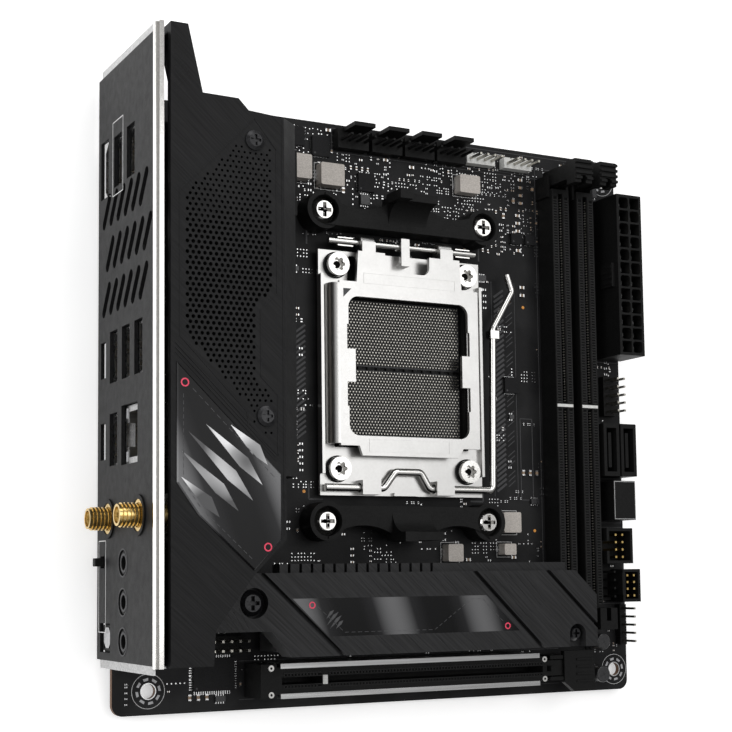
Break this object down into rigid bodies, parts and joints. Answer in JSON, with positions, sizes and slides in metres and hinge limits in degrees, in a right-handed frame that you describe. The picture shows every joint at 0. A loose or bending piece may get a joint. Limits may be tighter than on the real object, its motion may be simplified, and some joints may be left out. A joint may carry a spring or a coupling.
{
  "type": "computer motherboard",
  "caption": "Small square computer motherboard with rear port plate, covered port stacks, CPU socket, memory slots, drive heatsink and an expansion slot.",
  "frame": {"origin": "axis of the mounting hole in the corner between the rear ports and the expansion slot, at the board's underside", "axes": "+X from the rear ports towards the memory slots, +Y along the port plate away from the expansion slot, +Z out of the component side"},
  "size_m": [0.1804, 0.1753, 0.0492],
  "materials": {
    "board": "semi-matt black solder mask",
    "cover": "matt black coating, finely brushed",
    "heatsink": "black anodised, brushed",
    "bare_aluminium": "plain milled",
    "black_plastic": "moulded black nylon",
    "white_plastic": "moulded white nylon",
    "steel": "satin nickel-plated steel",
    "bright_steel": "bright nickel plate",
    "blackened_steel": "black screw finish",
    "gold": "gold plate",
    "mirror_print": "dark mirror film with a printed pattern",
    "port_metal": "nickel-plated sheet",
    "contact_field": "dense field of dark spring contacts",
    "choke": "grey pressed ferrite with light flecks",
    "chip": "black moulding compound",
    "can": "black sleeve with a pressed top",
    "pad": "soft grey pad",
    "insulator": "thin black film",
    "tin": "bright solder"
  },
  "bodies": {
    "board": {"pcb": "board", "backplate": "blackened_steel", "backplate_insulator": "insulator", "io_plate": "cover", "io_bracket": "port_metal", "io_trim": "bright_steel", "usb_a_ports": "port_metal", "usb_c_ports": "port_metal", "hdmi_port": "port_metal", "lan_port": "port_metal", "port_housings": "black_plastic", "wifi_module": "port_metal", "antenna_connectors": "gold", "audio_jacks": "black_plastic", "optical_port": "black_plastic", "io_cover": "cover", "grille": "cover", "cover_badge": "mirror_print", "cover_screws": "blackened_steel", "vrm_heatsink": "heatsink", "thermal_pads": "pad", "exhaust_fan_frame": "black_plastic", "coin_cell": "bright_steel", "cpu_power": "black_plastic", "socket_body": "black_plastic", "socket_contacts": "contact_field", "socket_frame": "steel", "socket_hinge_pin": "bright_steel", "socket_screws": "bright_steel", "cooler_bracket_top": "black_plastic", "cooler_bracket_bottom": "black_plastic", "cooler_screws": "bright_steel", "dimm_slots": "black_plastic", "atx_power": "black_plastic", "connector_pins": "gold", "sata_ports": "black_plastic", "front_usb_c_header": "port_metal", "box_headers": "black_plastic", "pin_headers": "black_plastic", "fan_headers": "black_plastic", "rgb_headers": "white_plastic", "chokes": "choke", "chips": "chip", "can_capacitors": "can", "chipset_heatsink": "bare_aluminium", "m2_socket": "black_plastic", "m2_heatsink": "heatsink", "m2_badge": "mirror_print", "m2_screws": "blackened_steel", "m2_standoffs": "bright_steel", "pcie_slot": "black_plastic", "pcie_shell": "port_metal", "solder_tails": "tin"},
    "load_plate": {"socket_load_plate": "steel"},
    "lever": {"socket_lever": "bright_steel"},
    "memory_latch_a": {"dimm_latch_a": "black_plastic"},
    "memory_latch_b": {"dimm_latch_b": "black_plastic"},
    "card_latch": {"pcie_latch": "black_plastic"},
    "button": {"rear_button": "black_plastic"},
    "fan_rotor": {"exhaust_fan_rotor": "black_plastic"}
  },
  "joints": [
    {"name": "load_plate_hinge", "type": "hinge", "parent": "board", "child": "load_plate", "pos_m": [0.07784, 0.12765, 0.0062], "axis": [-1, 0, 0], "range_deg": [0, 90]},
    {"name": "lever_hinge", "type": "hinge", "parent": "board", "child": "lever", "pos_m": [0.07784, 0.05565, 0.0062], "axis": [1, 0, 0], "range_deg": [0, 120]},
    {"name": "memory_latch_a_hinge", "type": "hinge", "parent": "board", "child": "memory_latch_a", "pos_m": [0.13304, 0.15325, 0.0062], "axis": [-1, 0, 0], "range_deg": [0, 28]},
    {"name": "memory_latch_b_hinge", "type": "hinge", "parent": "board", "child": "memory_latch_b", "pos_m": [0.14244, 0.15325, 0.0062], "axis": [-1, 0, 0], "range_deg": [0, 28]},
    {"name": "card_latch_hinge", "type": "hinge", "parent": "board", "child": "card_latch", "pos_m": [0.12684, 0.00185, 0.0078], "axis": [0, 1, 0], "range_deg": [0, 16], "stiffness_Nm_per_rad": 0.02},
    {"name": "rear_button_slide", "type": "slide", "parent": "board", "child": "button", "axis": [1, 0, 0], "range_m": [0, 0.001], "stiffness_N_per_m": 300},
    {"name": "fan_spin", "type": "hinge", "parent": "board", "child": "fan_rotor", "pos_m": [-0.00716, 0.11465, 0.023], "axis": [1, 0, 0], "continuous": true}
  ]
}
